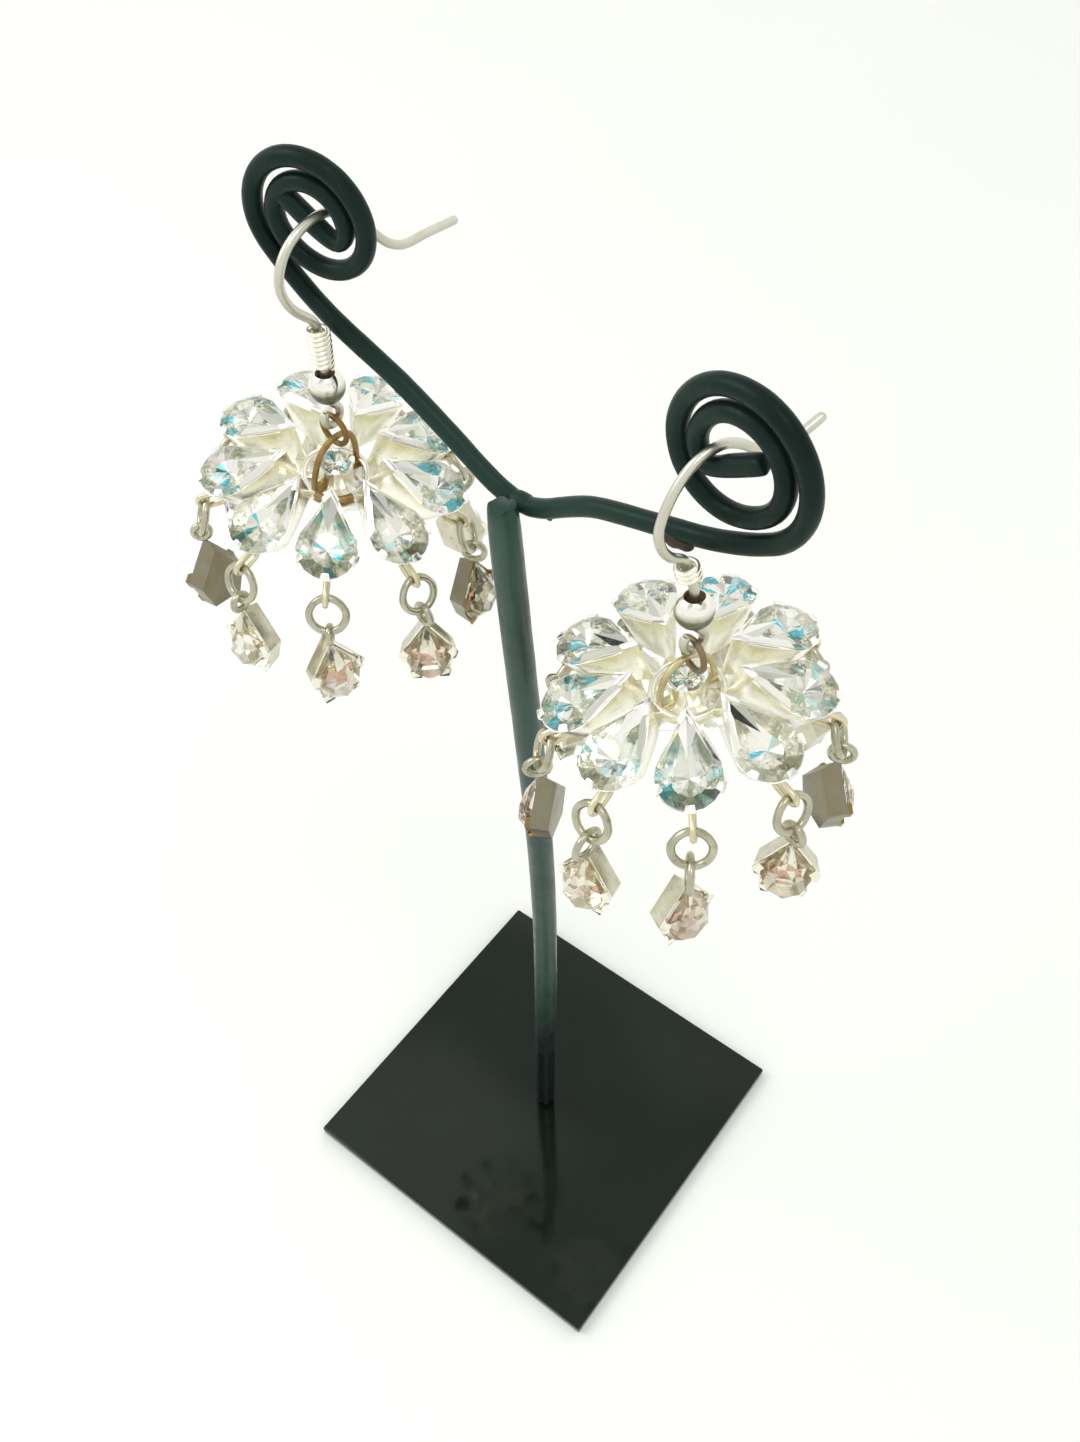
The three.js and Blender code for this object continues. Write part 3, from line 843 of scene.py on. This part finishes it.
def bend_claw(cup, turn, width, rim):
    """Raise a claw from the rim at this turn and fold it in over the stone."""
    def on_rim(face):
        spot = middle(face)
        apart = (turn_of(spot) - turn + math.pi) % (2 * math.pi) - math.pi
        return abs(spot.z - rim) < HAIR and face.normal.z > 0.9 and abs(apart) < width
    pick(cup, "faces", on_rim)
    out = Vector((math.cos(turn), math.sin(turn), 0))
    extrude(*(out * CLAW["bulge"] + Vector((0, 0, CLAW["rise"]))))
    extrude(*(Vector((0, 0, CLAW["rise"] * CLAW["fold"])) - out * CLAW["reach"]))
    bpy.ops.transform.resize(value=[CLAW["taper"]] * 3)


def make_cup():
    """A stamped pear cup: floor, flared wall, rim, claws, and the eye on its outer end."""
    cup = start("cup_pattern")
    low, rim = -CUP["depth"], CUP["rim"]
    bpy.ops.mesh.primitive_circle_add(vertices=36, radius=CUP["radius"], fill_type="NGON",
                                      location=(0, 0, low))
    draw_out(cup, low, lambda turn: pear(turn, CUP["belly"]))
    pick_all()
    extrude(z=rim - low)
    bpy.ops.mesh.select_all(action="DESELECT")
    pick(cup, "verts", lambda v: v.co.z < low + HAIR)
    bpy.ops.transform.resize(value=(1, CUP["foot"], 1), center_override=(0, 0, low))
    for out in HEEL_FROM:
        pick(cup, "verts", lambda v: v.co.z < low + HAIR and v.co.x > out)
        bpy.ops.transform.resize(value=(1, HEEL_NARROWS, 1), center_override=(0, 0, low))
    pick(cup, "verts", lambda v: v.co.z < low + HAIR and v.co.x > 0)
    bpy.ops.transform.resize(value=(CUP["heel"], 1, 1), center_override=(0, 0, low))
    pick(cup, "faces", lambda f: middle(f).z > rim - HAIR)
    bpy.ops.mesh.inset(thickness=CUP["wall"], use_even_offset=True)
    extrude(z=-CUP["pocket"])
    bpy.ops.transform.resize(value=POCKET_TAPER, center_override=(0, 0, rim - CUP["pocket"]))
    for turn, width in CUP_CLAWS:
        bend_claw(cup, turn, width, rim)
    tidy_normals()
    close_up(cup)
    break_edges(cup, CUP["edge"], 2, 38)
    # Bright on its lip, and darker the further down: tarnish, and painted shade in the cup's depth.
    age(cup, lambda spot, normal: 0.0 if spot.z > rim - CUP["lip"] else 0.2 - 0.08 * spot.z)
    soften(cup, 42)
    eye = make_ring("eye_pattern", EYE, 28)
    open_up(eye)
    pick(eye, "verts", lambda v: v.co.x < -0.1)
    bpy.ops.transform.translate(value=(-EYE["shank"], 0, 0))
    close_up(eye)
    upright = Matrix.Rotation(math.pi / 2, 4, "X")
    eye.data.transform(Matrix.Translation((CUP["radius"] + EYE["out"], 0, -EYE["down"])) @ upright)
    age(eye, AGE["eye"])
    return join("cup_pattern", [cup, eye])


def make_hub_cup():
    """The small round cup in the middle, with four claws."""
    cup = start("hub_cup")
    bottom, top = HUB_CUP["bottom"], HUB_CUP["top"]
    bpy.ops.mesh.primitive_cylinder_add(vertices=24, radius=HUB_CUP["radius"], depth=top - bottom,
                                        location=(0, 0, (top + bottom) / 2))
    pick(cup, "faces", lambda f: f.normal.z > 0.9)
    bpy.ops.mesh.inset(thickness=HUB_CUP["wall"])
    extrude(z=-HUB_CUP["pocket"])
    for i in range(4):
        bend_claw(cup, (45 + 90 * i) * DEG, HUB_CUP["claw"], top)
    tidy_normals()
    close_up(cup)
    break_edges(cup, HUB_CUP["edge"], 2, 38)
    age(cup, lambda spot, normal: 0.3 - 0.3 * spot.z)
    return soften(cup, 42)


def make_bail(reach, height):
    """The arch over the hub: an oval of round wire, cut at the hub ring."""
    bpy.ops.object.select_all(action="DESELECT")
    bpy.ops.curve.primitive_bezier_circle_add(radius=1, rotation=(0, 0, 0))
    bail = bpy.context.object
    bail.name = "bail"
    bpy.ops.object.mode_set(mode="EDIT")
    bpy.ops.curve.select_all(action="SELECT")
    bpy.ops.transform.resize(value=(reach, height, 1), center_override=(0, 0, 0))
    bpy.ops.object.mode_set(mode="OBJECT")
    bail.data.bevel_depth, bail.data.bevel_resolution, bail.data.resolution_u = BAIL["wire"], 4, 12
    bpy.ops.object.convert(target="MESH")
    open_up(bail)
    pick_all()
    bpy.ops.mesh.bisect(plane_co=(0, 0, 0), plane_no=(0, 1, 0), clear_inner=True)
    fill_ends(bail)
    tidy_normals()
    close_up(bail)
    bail.data.transform(Matrix.Rotation(math.pi / 2, 4, "X"))
    return soften(bail, 50)


def make_star():
    """The star plate under the hub: a ridge runs out to every cup's tip and a valley between."""
    star = start("star")
    bpy.ops.mesh.primitive_circle_add(vertices=2 * PETALS, radius=STAR["valley"], fill_type="NGON",
                                      location=(0, 0, STAR["z"]), rotation=(0, 0, -math.pi / 2))
    pick_all()
    bpy.ops.mesh.inset(thickness=STAR["valley"] - STAR["inner"], depth=STAR["rise"])
    bpy.ops.mesh.delete(type="FACE")
    for i in range(PETALS):
        turn = i * 2 * math.pi / PETALS
        pick(star, "verts", lambda v: v.co.xy.length > STAR["valley"] - 0.05
             and abs((turn_of(v.co) - turn + math.pi) % (2 * math.pi) - math.pi) < 0.05)
        reach = STAR["point"] - STAR["valley"]
        bpy.ops.transform.translate(value=(reach * math.cos(turn), reach * math.sin(turn), STAR["lift"]))
    close_up(star)
    modify(star, "SOLIDIFY", thickness=STAR["sheet"], offset=-1)
    break_edges(star, STAR["edge"], 2, 30)
    age(star, AGE["star"])
    return soften(star, 25)


def make_bridge():
    """The strip that the hub cup stands on, its edges rounded over."""
    bridge = start("bridge")
    bpy.ops.mesh.primitive_cube_add(size=1, location=(0, 0, BRIDGE["z"]))
    bpy.ops.transform.resize(value=(2 * HUB_RING["radius"], BRIDGE["width"], BRIDGE["thickness"]),
                             center_override=(0, 0, BRIDGE["z"]))
    tidy_normals()
    close_up(bridge)
    break_edges(bridge, BRIDGE["edge"], 3, 40)
    return soften(bridge, 45)


def make_dome(side, cup_pattern, hub_pattern):
    """All the soldered metal of one dome in one piece."""
    dome = dome_seat(side)
    parts = []
    for i in range(PETALS):
        parts.append(copy_at(cup_pattern, f"{side}_cup_{i}", stone_seat(f"{side}_stone_{i}")))
    ring_seat, _ = round_seat(f"{side}_jump_ring")
    ring_axis, ring_centre = ring_seat.col[2].xyz, ring_seat.translation
    back = dome.to_3x3().transposed() @ ring_axis
    facing = Matrix.Rotation(math.atan2(back.y, back.x), 4, "Z")
    to_dome = dome.inverted()
    arch_top = to_dome @ (ring_centre - Vector((0, 0, BAIL["below_ring"])))
    raised = dome @ facing
    ring = make_ring("hub_ring", HUB_RING, 48)
    ring.data.transform(raised @ Matrix.Translation((0, 0, HUB_RING["z"])))
    bail = make_bail(BAIL["reach"], arch_top.z - HUB_RING["z"])
    bail.data.transform(raised @ Matrix.Translation((0, 0, HUB_RING["z"])))
    bridge = make_bridge()
    bridge.data.transform(raised)

    # The hub ring's front is brown with stain, and darker as a painted shadow along the hub's front edge.
    def ring_stain_and_shadow(spot, normal):
        in_front = abs(turn_of(to_dome @ spot)) < HUB_FRONT
        return HUB_STAIN_AND_SHADOW[side] if in_front else AGE["hub_ring"]
    age(ring, ring_stain_and_shadow)
    for stained in (bail, bridge):
        age(stained, STAINED[side])
    hub = copy_at(hub_pattern, "hub", raised)
    star = make_star()
    star.data.transform(dome)
    metal = join(f"{side}_dome_metal", [*parts, ring, bail, bridge, hub, star])
    return fit(metal, f"{side}_dome", "dome_silver", [f"{side}_dome_frame"], CUP_SILVER)


# ---- Stones ----
def crystal_rings(radius):
    """Girdle, crown and pavilion corners of a pear stone: count, radius, height, turn and outline."""
    return [
        (16, radius, 0.22, 0.0, pear), (16, radius, 0.4, 0.0, pear),
        (16, radius * 0.86, 0.74, 11.25 * DEG, pear),
        (8, radius * 0.7, 1.0, 22.5 * DEG, None), (8, radius * 0.46, 1.2, 0.0, None),
        (16, radius * 0.88, 0.05, 0.0, pear),
        (16, radius * 0.45, -0.6, 11.25 * DEG, None),
    ]


def make_crystals():
    """The nine pear stones and the hub stone of each dome, each with flashes of its own."""
    pattern = make_stone("pear_crystal", crystal_rings(STONE["girdle"]), -1.0, TIP_FROM)
    girdle, radius = HUB_STONE["girdle"], HUB_STONE["radius"]
    hub = make_stone("hub_crystal", [
        (16, radius, girdle, 0.0, None), (16, radius, girdle + 0.08, 0.0, None),
        (8, radius * 0.8, girdle + 0.3, 22.5 * DEG, None), (8, radius * 0.55, girdle + 0.45, 0.0, None)],
        girdle - 0.6)
    rng = random.Random(DOME_SEED)
    for side in SIDES:
        for i in range(PETALS):
            node = f"{side}_stone_{i}"
            stone = copy_at(pattern, f"{side}_pear_crystal_{i}", stone_seat(node))
            colour_flashes(stone, pattern, rng, DOME_FLASHES)
            fit(stone, f"{side}_dome", "crystal", [node])
        stone = copy_at(hub, f"{side}_hub_crystal", dome_seat(side))
        colour_flashes(stone, hub, rng, DOME_FLASHES)
        fit(stone, f"{side}_dome", "crystal", [f"{side}_hub_stone"])
    scrap(hub, pattern)


# ---- Drops ----
def make_drop_crystal():
    """The chunky cut stone of a drop, with a kite for its girdle and a small table."""
    size = DROP["radius"]
    return make_stone("drop_crystal", [
        (10, size * 0.9, DROP_LIP - 0.05, 0.0, kite), (10, size * 0.9, DROP_LIP + 0.15, 0.0, kite),
        (5, size * 0.56, DROP_LIP + 1.4, 0.0, None),
        (10, size * 0.8, DROP_LIP - 0.2, 0.0, kite), (5, size * 0.42, DROP_LIP - 0.9, 36 * DEG, None),
    ], DROP_LIP - 1.05)


def make_drop_cup(flats_darkness, lip_stain):
    """A kite of a cup lying on its back, its face up +z and its tip at -x, with claws at its corners."""
    cup = start("drop_cup")
    back, lip = -DROP["thickness"] / 2, DROP_LIP
    bpy.ops.mesh.primitive_circle_add(vertices=20, radius=DROP["radius"], fill_type="NGON",
                                      location=(0, 0, back), rotation=(0, 0, math.pi / 2))
    draw_out(cup, back, kite)
    pick_all()
    extrude(z=lip - back)
    pick(cup, "verts", lambda v: v.co.z < back + HAIR)
    bpy.ops.transform.resize(value=(DROP["back"], DROP["back"], 1), center_override=(0, 0, back))
    pick(cup, "faces", lambda f: middle(f).z > lip - HAIR)
    bpy.ops.mesh.inset(thickness=DROP["wall"], use_even_offset=True)
    extrude(z=DROP["floor"] - DROP["cup"])
    taper = DROP["pocket_taper"]
    bpy.ops.transform.resize(value=(taper, taper, 1), center_override=(0, 0, back + DROP["floor"]))
    for turn, _ in KITE[1:3]:
        bend_claw(cup, turn, DROP["claw"], lip)
        bend_claw(cup, -turn, DROP["claw"], lip)
    tidy_normals()
    close_up(cup)
    break_edges(cup, DROP["edge"], 3, 30)
    age(cup, lambda spot, normal: lip_stain if spot.z > lip - DROP["lip"] else flats_darkness)
    return soften(cup, 40)


def make_rim_ring():
    """A wire ring sawn at its top and pinched in there by the pliers."""
    ring = make_ring("rim_ring", RIM_RING, 40)
    ring.data.transform(Matrix.Rotation(math.pi, 4, "Z"))
    open_up(ring)
    for height in RIM_RING["pinched"]:
        pick(ring, "verts", lambda v: v.co.x < -height * RIM_RING["radius"])
        bpy.ops.transform.resize(value=(1, RIM_RING["pinch"], 1), center_override=(0, 0, 0))
    close_up(ring)
    return age(ring, AGE["drop_wire"])


def make_drops():
    """Each drop is one hanging metal piece and the crystal set in it."""
    bright_cup, darkened_cup = make_drop_cup(*BRIGHT_DROP), make_drop_cup(*DARKENED_DROP)
    rim_ring, crystal = make_rim_ring(), make_drop_crystal()
    rng = random.Random(DROP_SEED)
    upright = Matrix.Rotation(math.pi / 2, 4, "Y")
    hung = Matrix.Translation((0, 0, -RIM_RING["radius"])) @ upright
    leaning = Matrix.Rotation(-RIM_RING["lean"], 4, "Y") @ hung
    out, down = ring_foot()
    for side in SIDES:
        dome = dome_seat(side)
        for i in range(PETALS):
            seat, loop_radius, turn = drop_seat(side, i, dome)
            ring = copy_at(rim_ring, "ring", seat @ leaning)
            loop_place = seat @ Matrix.Translation((out, 0, RIM_RING["wire"] - down - loop_radius))
            loop = make_ring("loop", {"radius": loop_radius, "wire": DROP["loop_wire"]}, 28)
            loop.data.transform(loop_place @ Matrix.Rotation(math.pi / 2, 4, "X"))
            age(loop, AGE["drop_wire"])
            # The kite's length, +x on the pattern, hangs down, and its face looks out.
            hang = Matrix.Rotation(turn, 4, "Z") @ upright
            kite_place = loop_place @ Matrix.Translation((0, 0, -loop_radius - DROP["tip"])) @ hang
            # The darkened cups paint shade as well as tarnish on the drops that take them.
            body = copy_at(darkened_cup if i in DARKENED_DROPS else bright_cup, "kite", kite_place)
            metal = join(f"{side}_drop_metal_{i}", [body, ring, loop])
            fit(metal, f"{side}_dome", "drop_silver", [f"{side}_drop_{i}"], DROP_SILVER)
            stone = copy_at(crystal, f"{side}_drop_crystal_{i}", kite_place)
            colour_flashes(stone, crystal, rng, DROP_FLASHES, DROP_HEARTS)
            fit(stone, f"{side}_dome", "crystal", [])
    scrap(bright_cup, darkened_cup, rim_ring, crystal)


# ---- Studio ----
# Places and sizes in metres, turns in degrees, the lens in millimetres and the lamps' power in watts.
CAMERA = {"place": (0.054065, -0.062202, 0.184731), "turn": 40.586, "down": 50.562, "roll": 1.489,
          "lens": 34.605}
WINDOW = {"place": (-0.5, -0.3, 0.6), "size": 0.4, "power": 1.3}
CEILING = {"place": (0.25, -0.2, 0.9), "size": 0.35, "power": 0.9}
SKY = {"strength": 0.985, "bright": (1.0, 1.0, 0.98), "shaded": (0.62, 0.64, 0.61)}


def make_camera():
    """The camera, looking down at the stand from its front right."""
    camera = bpy.data.objects.new("camera", bpy.data.cameras.new("camera"))
    bpy.context.scene.collection.objects.link(camera)
    camera.data.sensor_width, camera.data.lens = 36, CAMERA["lens"]
    camera.data.clip_start, camera.data.clip_end = 0.005, 20
    turned = Matrix.Rotation(CAMERA["turn"] * DEG, 4, "Z")
    lowered = Matrix.Rotation((90 - CAMERA["down"]) * DEG, 4, "X")
    rolled = Matrix.Rotation(-CAMERA["roll"] * DEG, 4, "Z")
    camera.matrix_world = Matrix.Translation(CAMERA["place"]) @ (turned @ lowered @ rolled)
    bpy.context.scene.camera = camera


def add_lamp(name, place, size, power):
    """A round soft lamp that looks at the middle of the stand."""
    lamp = bpy.data.objects.new(name, bpy.data.lights.new(name, "AREA"))
    bpy.context.scene.collection.objects.link(lamp)
    lamp.data.shape, lamp.data.size, lamp.data.energy = "DISK", size, power
    centre = (cad_box[0] + cad_box[1]) / 2
    lamp.location = place
    lamp.rotation_euler = (centre - Vector(place)).to_track_quat("-Z", "Y").to_euler()


def make_studio():
    """A pale floor, a white room with a few shaded patches high up, and two soft lamps."""
    bpy.ops.object.select_all(action="DESELECT")
    bpy.ops.mesh.primitive_plane_add(size=6, location=(0, 0, cad_box[0].z))
    floor = bpy.context.object
    floor.name = "floor"
    material, signal, place = begin_finish("pale_floor")
    drift = noise(place, 260, 2)
    finish_with(material, signal, {
        "Base Color": mixed(drift.over(0.3, 0.7), (0.95, 0.96, 0.93), (0.97, 0.98, 0.95)), "Roughness": 0.8,
        "Specular IOR Level": 0.2})
    floor.data.materials.append(material)
    world = bpy.data.worlds.new("studio")
    world.use_nodes = True
    tree = world.node_tree
    tree.nodes.clear()
    signal = Signal(tree)
    direction = signal.node("ShaderNodeTexCoord", out=0)
    patches = direction.node("ShaderNodeTexNoise", None, {"Vector": direction, "Scale": 1.6, "Detail": 1.0})
    height = direction.node("ShaderNodeSeparateXYZ", None, {"Vector": direction}, out=2)
    shade = (1 - patches.over(0.36, 0.48)) * height.over(0.3, 0.55)
    colour = mixed(shade, SKY["bright"], SKY["shaded"])
    sky = signal.node("ShaderNodeBackground", None, {"Color": colour, "Strength": SKY["strength"]})
    signal.node("ShaderNodeOutputWorld", None, {"Surface": sky})
    bpy.context.scene.world = world
    add_lamp("window", **WINDOW)
    add_lamp("ceiling", **CEILING)
    bpy.context.scene.view_settings.view_transform = "Standard"
    # Light passes between the facets of a cut stone many times before it gets out.
    bounces = bpy.context.scene.cycles
    bounces.max_bounces, bounces.glossy_bounces, bounces.transmission_bounces = 20, 14, 16


make_stand()
make_links()
cup_pattern, hub_cup_pattern = make_cup(), make_hub_cup()
for side_name in SIDES:
    make_dome(side_name, cup_pattern, hub_cup_pattern)
scrap(cup_pattern, hub_cup_pattern)
make_crystals()
make_drops()
make_camera()
make_studio()
